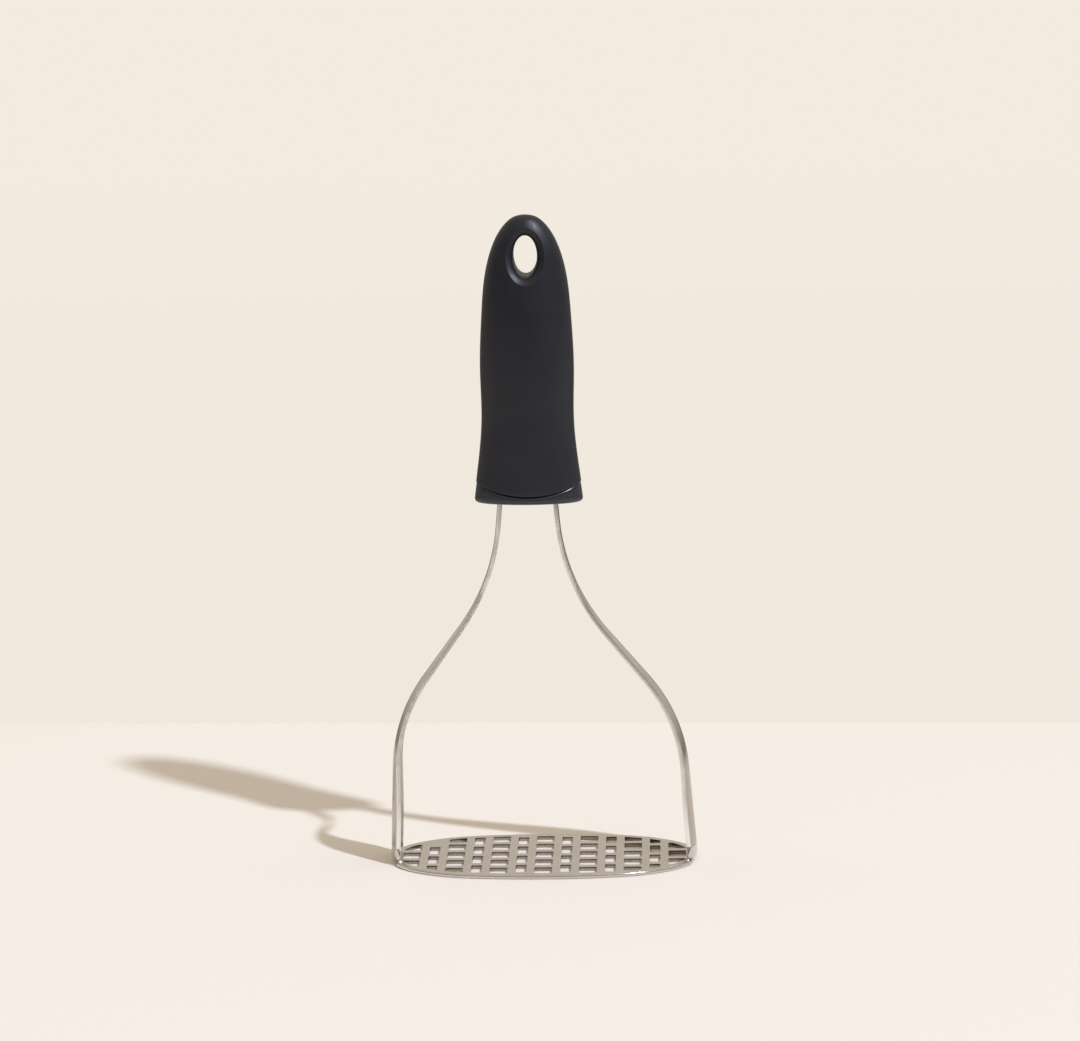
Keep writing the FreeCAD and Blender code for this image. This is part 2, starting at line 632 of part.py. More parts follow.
def cut_at_seam(body, above):
    """Cut away what is above or below the curved seam between collar and sleeve."""
    sketch = new_sketch(body, body.Name + "_seam", "XZ_Plane")
    r, low, reach = amount("seam_radius"), amount("seam_low"), amount("seam_reach")
    centre = (0, low + r)
    swing = math.asin(reach / r)
    curve = arc(sketch, centre, r, -QUARTER_TURN - swing, -QUARTER_TURN + swing)
    right, left = (polar(centre, r, -QUARTER_TURN + sign * swing) for sign in (1, -1))
    level = low + (OUTSIDE if above else -OUTSIDE)
    rise = line(sketch, right, (right[0], level))
    across = line(sketch, (right[0], level), (left[0], level))
    fall = line(sketch, (left[0], level), left)
    for here, there in ((curve, rise), (rise, across), (across, fall), (fall, curve)):
        rule(sketch, "Coincident", here, END, there, START)
    rule(sketch, "Vertical", rise)
    rule(sketch, "Vertical", fall)
    rule(sketch, "Horizontal", across)
    rule(sketch, "PointOnObject", curve, CENTRE, Y_AXIS)
    tie(sketch, "Radius", curve, to="seam_radius")
    place(sketch, curve, CENTRE, y="seam_low + seam_radius")
    place(sketch, across, START, x="seam_reach", y="seam_low %s %s" % ("+" if above else "-", OUTSIDE))
    cut(body, sketch)


def cut_eye(body, growth):
    """The hanging eye, made larger all round by growth."""
    sketch = new_sketch(body, body.Name + "_eye", "XZ_Plane")
    ellipse(sketch, "(eye_half_width + %s)" % growth, "(eye_half_height + %s)" % growth, "eye_height")
    return cut(body, sketch)


def cut_sockets(body):
    """A slanting slot for each strap's tang, open at the bottom."""
    width = "sheet_thickness + 3 * slot_gap"
    for side, word in ((RIGHT, "right"), (LEFT, "left")):
        sketch = new_sketch(body, "%s_%s_socket" % (body.Name, word), "XZ_Plane", side)
        low, high = amount("section_height_0 - socket_overrun"), amount("tang_top")
        drop = "(section_height_0 - socket_overrun - %s_neck_height)" % word
        mouth = "%s_neck_gap + slot_gap - %s * tan(tang_lean)" % (word, drop)
        x0, x1 = amount(mouth), amount(mouth) - amount(width)
        shift = math.tan(math.radians(amount("tang_lean"))) * (high - low)
        corners = [(x0, low), (x1, low), (x1 - shift, high), (x0 - shift, high)]
        bottom, inner, top, outer = loop(sketch, corners)
        rule(sketch, "Horizontal", bottom)
        rule(sketch, "Horizontal", top)
        rule(sketch, "Parallel", inner, outer)
        place(sketch, bottom, START, x=mouth, y="section_height_0 - socket_overrun")
        place(sketch, top, START, y="tang_top")
        tie(sketch, "DistanceX", bottom, END, bottom, START, to=width)
        tie(sketch, "Angle", inner, to="90 + tang_lean")
        cut(body, sketch, "2 * (strap_high_half + slot_gap)")


def core_form(body):
    """The core's outside: the sleeve's sections less its skin, with the lined eye."""
    oval_loft(body, body.Name + "_section", stops(CORE_SECTIONS, "skin"))
    cut_at_seam(body, above=False)
    cut_eye(body, "eye_lining")


def make_core():
    body = new_body("handle_core")
    core_form(body)
    cut_sockets(body)
    hole = new_sketch(body, "core_pin_hole", "YZ_Plane")
    pin_circle(hole)
    cut(body, hole)
    window = new_sketch(body, "window", "XZ_Plane")
    rectangle(window, "-window_half_width", "window_half_width",
              "window_first - window_half_height", "window_first + window_half_height")
    first = cut(body, window)
    column = body.newObject("PartDesign::LinearPattern", "window_column")
    column.Originals = [first]
    column.Direction = (datum(body, "Z_Axis"), [""])
    column.setExpression("Length", cells("%d * window_pitch" % (WINDOWS - 1)))
    column.Occurrences = WINDOWS
    body.Tip = column
    return body


def make_collar():
    """The hard end cap: a straight-drafted loft on a rounded lower edge."""
    body = new_body("end_collar")
    base, *upper = stops(COLLAR_SECTIONS, "collar_step")
    height, half_width, half_depth = base
    raised = height + " + collar_edge"
    oval_loft(body, "collar_section", [(raised, half_width, half_depth)] + upper)
    edge = []
    for angle in EDGE_ANGLES:
        level = "%s - collar_edge * cos(%s)" % (raised, angle)
        inset = " - collar_edge * (1 - sin(%s))" % angle
        edge.append((level, half_width + inset, half_depth + inset))
    oval_loft(body, "collar_edge_section", edge, ruled=True)
    cut_at_seam(body, above=True)
    cut_sockets(body)
    return body


def eye_mouths(shape):
    """The edges where the hanging eye comes out in front and behind."""
    middle, across, up = (amount(n) for n in ("eye_height", "eye_half_width", "eye_half_height"))
    names = []
    for number, edge in enumerate(shape.Edges, start=1):
        box = edge.BoundBox
        central = abs(box.Center.z - middle) < EYE_SLACK
        small = box.ZLength < 2 * (up + EYE_SLACK) and box.YLength < up
        if central and small and box.XLength > across:
            names.append("Edge%d" % number)
    return names


def make_sleeve():
    """The soft skin: the handle's outside less the core, with a rounded hanging eye."""
    outside = new_body("sleeve_outside")
    oval_loft(outside, "sleeve_section", stops(SLEEVE_SECTIONS, "0"))
    cut_at_seam(outside, above=False)
    eye = cut_eye(outside, "0")
    rounding = outside.newObject("PartDesign::Fillet", "eye_rounding")
    rounding.Base = (eye, eye_mouths(eye.Shape))
    rounding.setExpression("Radius", cells("eye_lip"))
    doc.recompute()
    inside = new_body("sleeve_inside")
    core_form(inside)
    sleeve = doc.addObject("Part::Cut", "grip_sleeve")
    sleeve.Label = "grip_sleeve"
    sleeve.Base, sleeve.Tool = outside, inside
    return sleeve


# ---------------------------------------------------------------- build, check and write

nodes = [make_plate()]
for side in (LEFT, RIGHT):
    nodes += [make_strap(side), make_pin(side)]
for piece in (make_core(), make_collar(), make_sleeve()):
    piece.setExpression(".Placement.Base.x", cells("handle_offset"))
    nodes.append(piece)
doc.recompute()

failed = [item.Name for item in doc.Objects if {"Invalid", "Error"} & set(item.State)]
if failed:
    raise RuntimeError("these did not build: " + ", ".join(failed))
for node in nodes:
    if node.Shape.isNull() or not node.Shape.isValid() or len(node.Shape.Solids) != 1:
        raise RuntimeError(node.Label + " is not one valid solid")

os.makedirs("parts", exist_ok=True)
for node in nodes:
    node.Shape.exportStep("parts/%s.step" % node.Label)
    print("%-18s %9.1f mm3" % (node.Label, node.Shape.Volume))
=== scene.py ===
"""Potato masher: a slotted oval plate, two cupped straps and a soft-grip handle."""
import math

import bpy
import numpy as np
from mathutils import Matrix, Vector


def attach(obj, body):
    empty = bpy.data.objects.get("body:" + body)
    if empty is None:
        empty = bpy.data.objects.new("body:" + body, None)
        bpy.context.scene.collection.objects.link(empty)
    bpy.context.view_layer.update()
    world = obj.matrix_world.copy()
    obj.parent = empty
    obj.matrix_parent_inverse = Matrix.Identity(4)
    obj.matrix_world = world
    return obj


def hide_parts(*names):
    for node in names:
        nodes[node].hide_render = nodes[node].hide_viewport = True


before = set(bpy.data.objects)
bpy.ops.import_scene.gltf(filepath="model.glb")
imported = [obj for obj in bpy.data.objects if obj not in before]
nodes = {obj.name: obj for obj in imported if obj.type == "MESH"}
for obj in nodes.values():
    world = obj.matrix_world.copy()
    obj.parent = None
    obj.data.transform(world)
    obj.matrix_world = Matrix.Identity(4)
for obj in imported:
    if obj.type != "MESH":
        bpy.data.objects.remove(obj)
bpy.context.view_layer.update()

MM = 0.001

# ---------------------------------------------------------------- the handle's sizes, in mm

HANDLE_OFFSET = -4.05    # handle axis from the middle of the plate
SECTIONS = [             # height, half width and half depth
    (144.75, 21.75, 10.0),
    (153.9, 20.55, 10.1),
    (163.5, 19.30, 10.3),
    (178.0, 18.12, 10.7),
    (198.0, 18.42, 11.5),
    (217.6, 17.62, 11.3),
    (233.3, 16.19, 9.8),
    (245.8, 13.00, 7.9),
    (252.2, 9.75, 6.2),
    (256.2, 6.20, 4.3),
    (257.4, 4.30, 3.1),
]
TOP = 258.2              # the head's highest point
SEAM_LOW, SEAM_RADIUS = 148.1, 47.0      # the seam is an arc, lowest in the middle
SEAM_GAP = 0.35          # dark groove between sleeve and collar
GAP_SHARE = 0.15, 0.35   # what each piece gives up of it: at the sides, and how much more in the middle
COLLAR_STEP = 0.25       # how far the sleeve stands proud of the collar
COLLAR_EDGE = 1.8        # rounding of the collar's lower edge
SHOULDER = 0.4, 0.9, 0.6     # rounding beside the seam: at the sides, how much more in the middle, and power
COLLAR_BASE = (0.02, 0.2, 0.45, 0.7, 0.85)           # shares of the way out over the collar's flat base
COLLAR_TUCK = ((1.5, 0.0), (2.2, 0.1), (3.2, 0.3))   # inset and drop of the collar's top, inside the sleeve
EYE_HEIGHT, EYE_ACROSS, EYE_UP = 242.4, 4.6, 7.85    # the eye's middle, half width and half height
SKIN = 2.95              # thickness of the sleeve, and of its lining round the eye
INNER_TOP = 254.6        # highest point of the sleeve's inner skin
INNER_LAST = 252.2       # the last section that the inner skin follows
HEAD_START = 223.0       # below this the sleeve is a plain tube

# The eye's rim from the grip's face to the wall of the hole: growth of the ellipse and depth.
DISH = [(3.25, 0.0), (3.0, 0.03), (2.82, 0.12), (2.62, 0.28), (2.1, 0.66), (1.45, 1.15), (0.9, 1.70),
        (0.5, 2.35), (0.26, 3.1), (0.12, 3.9), (0.03, 4.8)]
PLAIN = [(0.0, 0.0), (0.0, 0.5)]

# The sleeve's lower edge, from its outer to its inner skin: share of the way in, and drop.
LIP = [(0.03, 0.02), (0.10, 0.14), (0.22, 0.18), (0.6, 0.18), (0.95, 0.1)]

# How finely the pieces are divided.
ROUND = 64               # quads round the tube
OVER = 56                # quads over the head's outline, from side to side
TUBE_ROWS = 26
HEAD_ROWS = 11
HOLE_ROWS = 4
CROWD_FROM = 0.55        # share of the head's half width from which its rows crowd outwards
PASSES = 30              # to find where a line of the tube meets the seam
SAMPLES = 400            # of the head's outline, to find even steps along it


# ---------------------------------------------------------------- mesh helpers

def spline(xs, ys):
    """Natural cubic spline through the points, as a function of x."""
    xs, ys = np.array(xs, float), np.array(ys, float)
    h, n = np.diff(xs), len(xs)
    matrix, right = np.eye(n), np.zeros(n)
    for i in range(1, n - 1):
        matrix[i, i - 1:i + 2] = h[i - 1], 2 * (h[i - 1] + h[i]), h[i]
        right[i] = 6 * ((ys[i + 1] - ys[i]) / h[i] - (ys[i] - ys[i - 1]) / h[i - 1])
    k = np.linalg.solve(matrix, right)

    def at(x):
        i = np.clip(np.searchsorted(xs, x) - 1, 0, n - 2)
        a, b = xs[i + 1] - x, x - xs[i]
        return ((k[i] * a ** 3 + k[i + 1] * b ** 3) / (6 * h[i])
                + (ys[i] / h[i] - k[i] * h[i] / 6) * a + (ys[i + 1] / h[i] - k[i + 1] * h[i] / 6) * b)
    return at


def spans(inset, top, last):
    """The squared half width and half depth of the handle, as functions of height.

    They follow the sections up to last, moved in by inset, and close at top.
    """
    used = [section for section in SECTIONS if section[0] <= last]
    heights = [section[0] for section in used] + [top]
    wide = spline(heights, [(section[1] - inset) ** 2 for section in used] + [0])
    deep = spline(heights, [(section[2] - inset) ** 2 for section in used] + [0])
    return (lambda z: np.maximum(wide(z), 0)), (lambda z: np.maximum(deep(z), 0))


def circle():
    """Cosine and sine of each line round the tube."""
    turn = np.arange(ROUND) * 2 * math.pi / ROUND
    return np.cos(turn), np.sin(turn)


def seam_line(wide, side):
    """Heights where the lines round a tube meet the groove's upper (1) or lower (-1) side."""
    across, along = circle()
    share, more = GAP_SHARE
    half_gap = side * SEAM_GAP * (share + more * np.abs(along))
    height = np.full(ROUND, SEAM_LOW)
    for _ in range(PASSES):
        x = np.sqrt(wide(height)) * across
        height = SEAM_LOW + SEAM_RADIUS - np.sqrt(SEAM_RADIUS ** 2 - x ** 2) + half_gap
    return height


def smooth(t):
    t = np.clip(t, 0, 1)
    return t * t * (3 - 2 * t)


class Build:
    """Collects points in rows and the quads between them."""

    def __init__(self):
        self.points, self.faces = [], []

    def row(self, xs, ys, zs):
        first = len(self.points)
        self.points.extend(zip(xs, ys, zs))
        return list(range(first, len(self.points)))

    def places(self, row):
        return np.array([self.points[i] for i in row])

    def bridge(self, low, high, flip=False):
        count = len(low)
        for i in range(count):
            j = (i + 1) % count
            quad = (low[i], low[j], high[j], high[i])
            self.faces.append(quad[::-1] if flip else quad)

    def piece(self, name):
        """The finished piece, subdivided once."""
        mesh = bpy.data.meshes.new(name)
        points = [((x + HANDLE_OFFSET) * MM, y * MM, z * MM) for x, y, z in self.points]
        mesh.from_pydata(points, [], self.faces)
        mesh.validate()
        mesh.polygons.foreach_set("use_smooth", [True] * len(mesh.polygons))
        piece = bpy.data.objects.new(name, mesh)
        bpy.context.scene.collection.objects.link(piece)
        subdivision = piece.modifiers.new("subdivision", "SUBSURF")
        subdivision.levels = subdivision.render_levels = 1
        return piece


# ---------------------------------------------------------------- the soft sleeve

def head_outline(wide, top):
    """Points over the head's outline, from the right-hand side over the top to the left."""
    bend = np.linspace(0, math.pi / 2, SAMPLES)
    heights = HEAD_START + (top - HEAD_START) * np.sin(bend)
    reach = np.sqrt(wide(heights))
    reach[-1] = 0
    length = np.concatenate([[0], np.cumsum(np.hypot(np.diff(reach), np.diff(heights)))])
    steps = np.linspace(0, length[-1], OVER // 2 + 1)
    right_x, right_z = np.interp(steps, length, reach), np.interp(steps, length, heights)
    return np.concatenate([right_x, -right_x[-2::-1]]), np.concatenate([right_z, right_z[-2::-1]])


def head_sheet(build, loop, crowding, spans_here, growth, dish, sign, flip):
    """The front (-1) or back (1) of the head, from its outline to inside the eye; gives its last row."""
    wide, deep = spans_here
    px, pz = build.places(loop)[:, (0, 2)].T
    rim_across, rim_up = EYE_ACROSS + growth + dish[0][0], EYE_UP + growth + dish[0][0]
    turn = np.arctan2((pz - EYE_HEIGHT) / rim_up, px / rim_across)
    cosine, sine = np.cos(turn), np.sin(turn)

    def add(x, z, depth, previous):
        y = sign * np.sqrt(np.maximum(deep(z) * (1 - x ** 2 / np.maximum(wide(z), 1e-9)), 0))
        row = build.row(x, y - sign * depth, z)
        build.bridge(previous, row, flip=(sign < 0) == flip)
        return row

    previous = loop
    rim_x, rim_z = rim_across * cosine, EYE_HEIGHT + rim_up * sine
    for k in range(HEAD_ROWS - 1, -1, -1):
        share = k / HEAD_ROWS
        share = (1 - crowding) * share + crowding * np.sin(share * math.pi / 2)
        previous = add(rim_x + share * (px - rim_x), rim_z + share * (pz - rim_z), 0, previous)
    for more, depth in dish[1:]:
        x = (EYE_ACROSS + growth + more) * cosine
        z = EYE_HEIGHT + (EYE_UP + growth + more) * sine
        previous = add(x, z, depth, previous)
    return previous


def make_skin(build, inset, top, last, growth, dish, flip):
    """One skin of the sleeve: a tube from the seam, then a head with an eye through it.

    Gives its first row.
    """
    wide, deep = spans(inset, top, last)
    across, along = circle()
    start = seam_line(wide, 1)
    rows = []
    for k in range(TUBE_ROWS + 1):
        z = start + (HEAD_START - start) * k / TUBE_ROWS
        rows.append(build.row(np.sqrt(wide(z)) * across, np.sqrt(deep(z)) * along, z))
    for low, high in zip(rows, rows[1:]):
        build.bridge(low, high, flip=flip)

    ring, half = rows[-1], ROUND // 2
    over_x, over_z = head_outline(wide, top)
    outline = [ring[0]] + build.row(over_x[1:-1], 0 * over_x[1:-1], over_z[1:-1]) + [ring[half]]
    ends = []
    for sign in (-1, 1):
        # the loop round the sheet: over the top, then back along the tube's last ring
        loop = outline + (ring[half + 1:] if sign < 0 else ring[half - 1:0:-1])
        # rows crowd towards the silhouette, and are even towards the tube
        px = build.places(loop)[:, 0]
        crowding = smooth((np.abs(px) / px.max() - CROWD_FROM) / (1 - CROWD_FROM))
        crowding[:len(outline)] = 1
        ends.append(head_sheet(build, loop, crowding, (wide, deep), growth, dish, sign, flip))

    # both sheets have the same loop round the eye, so their last rows join line by line
    front, back = (build.places(row) for row in ends)
    previous = ends[0]
    for k in range(1, HOLE_ROWS):
        row = build.row(*(front + (back - front) * k / HOLE_ROWS).T)
        build.bridge(previous, row, flip=not flip)
        previous = row
    build.bridge(previous, ends[1], flip=not flip)
    return rows[0]


def make_sleeve():
    build = Build()
    outer = make_skin(build, 0, TOP, TOP, 0, DISH, False)
    inner = make_skin(build, SKIN, INNER_TOP, INNER_LAST, SKIN, PLAIN, True)
    outside, inside = build.places(outer), build.places(inner)
    previous = outer
    for share, drop in LIP:
        x, y, z = (outside + (inside - outside) * share).T
        row = build.row(x, y, z - drop)
        build.bridge(row, previous)
        previous = row
    build.bridge(inner, previous)
    return build.piece("soft_sleeve")


# ---------------------------------------------------------------- the hard collar

def make_collar():
    """The hard end cap: rounded below, rounded again where it meets the sleeve."""
    build = Build()
    wide, deep = spans(COLLAR_STEP, TOP, TOP)
    across, along = circle()
    base = SECTIONS[0][0]
    seam = seam_line(wide, -1)
    rows = []

    def ring(z, inset=0):
        rows.append(build.row((np.sqrt(wide(z)) - inset) * across, (np.sqrt(deep(z)) - inset) * along,
                              z + 0 * across))

    half_width, half_depth = np.sqrt(wide(base)), np.sqrt(deep(base)) - COLLAR_EDGE
    for share in COLLAR_BASE:
        rows.append(build.row(half_width * across * share, half_depth * along * share, base + 0 * across))
    for angle in np.linspace(0, math.pi / 2, 7):
        ring(base + COLLAR_EDGE * (1 - math.cos(angle)), COLLAR_EDGE * (1 - math.sin(angle)))
    lift = base + COLLAR_EDGE
    least, more, power = SHOULDER
    shoulder = least + more * np.abs(along) ** power
    for quarter in (1, 2, 3, 4):
        ring(lift + (seam - shoulder - lift) * quarter / 4)
    for angle in np.linspace(0, math.pi / 2, 6)[1:]:
        ring(seam - shoulder * (1 - math.sin(angle)), shoulder * (1 - math.cos(angle)))
    for inset, drop in COLLAR_TUCK:
        ring(seam - drop, inset)
    for low, high in zip(rows, rows[1:]):
        build.bridge(low, high)
    build.faces.append(tuple(rows[0][::-1]))
    build.faces.append(tuple(rows[-1]))
    return build.piece("hard_collar_cap")


sleeve = make_sleeve()
collar = make_collar()
for piece, node, slot in ((sleeve, "grip_sleeve", "soft_grip"), (collar, "end_collar", "hard_collar")):
    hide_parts(node)
    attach(piece, "root")


# ---------------------------------------------------------------- node trees

class Nodes:
    """A short way to fill a node tree."""

    def __init__(self, tree):
        self.tree = tree

    def node(self, kind, **settings):
        node = self.tree.nodes.new(kind)
        for key, value in settings.items():
            setattr(node, key, value)
        return node

    def put(self, value, target):
        """Link a socket to an input, or give the input a number, colour or vector."""
        if isinstance(value, bpy.types.NodeSocket):
            self.tree.links.new(value, target)
        elif target.type == "RGBA":
            target.default_value = (*value, 1)
        else:
            target.default_value = value

    def made(self, node, values, output=0):
        """Fill a node's inputs, given by name or number, and give one of its outputs."""
        for key, value in values.items():
            self.put(value, node.inputs[key])
        return node.outputs[output]

    def maths(self, operation, *values):
        return self.made(self.node("ShaderNodeMath", operation=operation), dict(enumerate(values)))

    def split(self, vector):
        """The X, Y and Z of a vector."""
        node = self.node("ShaderNodeSeparateXYZ")
        self.put(vector, node.inputs[0])
        return node.outputs

    def spread(self, source, low, high, start=0.3, end=0.7, kind="LINEAR"):
        """Map the range from start to end, by default a texture's middle, to the range from low to high."""
        node = self.node("ShaderNodeMapRange", interpolation_type=kind)
        return self.made(node, {"Value": source, "From Min": start, "From Max": end,
                                "To Min": low, "To Max": high})

    def between(self, factor, first, second):
        """A number between two others."""
        return self.made(self.node("ShaderNodeMix"), {0: factor, 2: first, 3: second})

    def blend(self, factor, first, second):
        """A colour between two others."""
        return self.made(self.node("ShaderNodeMix", data_type="RGBA"), {0: factor, 6: first, 7: second}, 2)


class Shader(Nodes):
    """A procedural material."""

    def __init__(self, name):
        self.material = bpy.data.materials.new(name)
        self.material.use_nodes = True
        super().__init__(self.material.node_tree)
        self.base = self.tree.nodes["Principled BSDF"]
        coordinates = self.node("ShaderNodeTexCoord")
        self.where, self.facing = coordinates.outputs["Object"], coordinates.outputs["Normal"]

    def surface(self, name, value):
        self.put(value, self.base.inputs[name])

    def noise(self, scale, detail=3, stretch=(1, 1, 1), rough=0.5):
        """Noise in object space; scale is in features per metre."""
        place = self.made(self.node("ShaderNodeMapping"), {"Vector": self.where, "Scale": stretch})
        return self.made(self.node("ShaderNodeTexNoise"),
                         {"Vector": place, "Scale": scale, "Detail": detail, "Roughness": rough}, "Fac")

    def tones(self, texture, first, second):
        """Two colours, spread over a texture's middle range."""
        return self.blend(self.spread(texture, 0, 1), first, second)

    def bump(self, texture, distance, strength, under=None):
        """A relief of the given height in metres, on top of the one under it, if there is one."""
        values = {"Height": texture, "Distance": distance, "Strength": strength}
        if under:
            values["Normal"] = under
        return self.made(self.node("ShaderNodeBump"), values, "Normal")


# ---------------------------------------------------------------- materials

def soft_rubber():
    s = Shader("soft_rubber")
    s.surface("Base Color", s.tones(s.noise(120, 4), (0.0088, 0.0092, 0.0150), (0.0118, 0.0124, 0.0192)))
    s.surface("Roughness", s.spread(s.noise(900), 0.385, 0.475))
    s.surface("Specular IOR Level", 0.42)
    pores = s.bump(s.noise(3200, 2), 0.00003, 0.5)
    s.surface("Normal", s.bump(s.noise(160, 2), 0.00012, 0.35, under=pores))
    return s.material


def hard_plastic():
    s = Shader("hard_plastic")
    s.surface("Base Color", s.tones(s.noise(90), (0.0190, 0.0208, 0.0300), (0.0225, 0.0243, 0.0340)))
    s.surface("Roughness", s.spread(s.noise(700), 0.18, 0.27))
    s.surface("Normal", s.bump(s.noise(500, 2), 0.00002, 0.3))
    return s.material


def core_plastic():
    s = Shader("core_plastic")
    s.surface("Base Color", s.tones(s.noise(300), (0.020, 0.021, 0.024), (0.030, 0.031, 0.035)))
    s.surface("Roughness", s.spread(s.noise(1200), 0.45, 0.6))
    s.surface("Normal", s.bump(s.noise(2500, 2), 0.00003, 0.4))
    return s.material


STEEL_GRAIN = 5200       # features per metre across the grain
STEEL_DARK, STEEL_BRIGHT = (0.58, 0.54, 0.515), (0.70, 0.66, 0.635)


def satin_steel(name, stretch, finish_and_painted_light, calm=0.35):
    """Satin stainless steel, its grain drawn out along the axis with the smallest stretch.

    A higher calm thins the grain. The finishing function takes the shader, a cloudy texture, the colour and
    the roughness, and gives the last two back, with painted shade, and on the straps a painted highlight,
    added to the colour.
    """
    s = Shader(name)
    grain = s.noise(1, 5, tuple(STEEL_GRAIN * part for part in stretch), 0.65)
    cloud = s.noise(45)
    tone = s.between(calm, grain, cloud)
    colour = s.blend(s.spread(tone, 0, 1, 0.35, 0.65), STEEL_DARK, STEEL_BRIGHT)
    rough = s.spread(tone, 0.22, 0.32)
    colour, rough = finish_and_painted_light(s, cloud, colour, rough)
    s.surface("Base Color", colour)
    s.surface("Metallic", 1)
    s.surface("Roughness", rough)
    s.surface("Anisotropic", 0.4)
    s.surface("Normal", s.bump(tone, 0.000006, 0.25))
    return s.material


CUT_FADE = 0.78, 0.92    # how squarely a cut face looks to the front or the back, where the painted highlight comes in
FOOT_FADE, NECK_FADE = (45 * MM, 80 * MM), (95 * MM, 120 * MM)       # heights over which the painted shade comes in at the foot and from the neck up


def strap_finish_and_painted_light(s, cloud, colour, rough):
    """A painted highlight on the faces cut at front and back, and painted shade at the foot and from the neck
    up.
    """
    height = s.split(s.where)[2]
    cut = s.spread(s.maths("ABSOLUTE", s.split(s.facing)[1]), 0, 1, *CUT_FADE)
    foot = s.spread(height, 1, 0, *FOOT_FADE)
    neck = s.spread(height, 0, 1, *NECK_FADE)
    # painted shade: darker tones at the foot and from the neck up
    painted_shade = s.tones(cloud, (0.43, 0.38, 0.34), (0.49, 0.44, 0.40))
    # painted highlight: much brighter tones on the faces cut at front and back
    painted_highlight = s.tones(cloud, (0.88, 0.86, 0.84), (0.96, 0.94, 0.92))
    colour = s.blend(cut, s.blend(s.maths("MAXIMUM", foot, neck), colour, painted_shade), painted_highlight)
    return colour, s.maths("ADD", rough, s.maths("MULTIPLY", cut, 0.08))


# The plate's outline is |x / reach|^power + |y / reach|^power = 1, with a reach for each axis.
PLATE_POWER, PLATE_REACH = 2.4, (61.2 * MM, 32.5 * MM)
BORDER = 0.915           # upright faces below this value are slot walls, and sloping ones above it are the rim
OUTLINE = 0.93           # sharp edges above this value are rounded
SHEET_TOP = 1.55 * MM    # just under the plate's upper face
BURR_FADE = 0.85 * MM, 1.35 * MM     # heights on a slot's wall over which the painted shadow along its top comes in
WALL_TILT, RIM_TILT = 0.5, 0.93      # the most that a wall or the rim looks up or down


def from_middle(tree, position):
    """0 in the middle of the plate and 1 at its outline; tree is a Nodes."""
    def share(part, reach):
        along = tree.maths("ABSOLUTE", tree.maths("DIVIDE", part, reach))
        return tree.maths("POWER", along, PLATE_POWER)

    x, y, _ = tree.split(position)
    return tree.maths("ADD", share(x, PLATE_REACH[0]), share(y, PLATE_REACH[1]))


def plate_finish_and_painted_shade(s, cloud, colour, rough):
    """Darker on the walls of the slots, partly for their sheared finish and partly as painted shade, with a
    painted shadow along the top of each wall; glossier on the rounded outer rim.
    """
    reach, height = from_middle(s, s.where), s.split(s.where)[2]
    tilt = s.maths("ABSOLUTE", s.split(s.facing)[2])
    walls = s.maths("MULTIPLY", s.maths("LESS_THAN", reach, BORDER), s.maths("LESS_THAN", tilt, WALL_TILT))
    walls = s.maths("MULTIPLY", walls, s.maths("LESS_THAN", height, SHEET_TOP))
    rim = s.maths("MULTIPLY", s.maths("GREATER_THAN", reach, BORDER), s.maths("LESS_THAN", tilt, RIM_TILT))
    burr = s.spread(height, 0, 1, *BURR_FADE)
    # slot walls: darker tones, partly their sheared finish and partly painted shade in the slots
    wall_tones_and_shade = s.tones(s.noise(1500), (0.30, 0.255, 0.225), (0.46, 0.41, 0.37))
    # painted shadow along the top of each slot wall
    painted_top_shadow = s.tones(s.noise(900, 2), (0.045, 0.035, 0.028), (0.10, 0.08, 0.066))
    colour = s.blend(walls, colour, s.blend(burr, wall_tones_and_shade, painted_top_shadow))
    return colour, s.maths("SUBTRACT", rough, s.maths("MULTIPLY", rim, 0.12))


def dress(piece, material):
    piece.data.materials.clear()
    piece.data.materials.append(material)


strap_steel = satin_steel("strap_steel", (1, 1, 0.05), strap_finish_and_painted_light, calm=0.85)
pin_steel = satin_steel("pin_steel", (1, 0.2, 0.2), strap_finish_and_painted_light)
dress(nodes["mashing_plate"], satin_steel("plate_steel", (0.05, 1, 1), plate_finish_and_painted_shade))
for side in ("left", "right"):
    dress(nodes[side + "_strap"], strap_steel)
    dress(nodes[side + "_strap_pin"], pin_steel)
dress(nodes["handle_core"], core_plastic())
dress(sleeve, soft_rubber())
dress(collar, hard_plastic())


# ---------------------------------------------------------------- rounded edges on the steel

JOIN = 0.005 * MM        # a CAD mesh's faces come apart from each other, and join at this distance
SHARP = math.radians(50)
PLATE_EDGE, STRAP_EDGE = 0.6 * MM, 0.5 * MM
EDGE_STEPS = 4


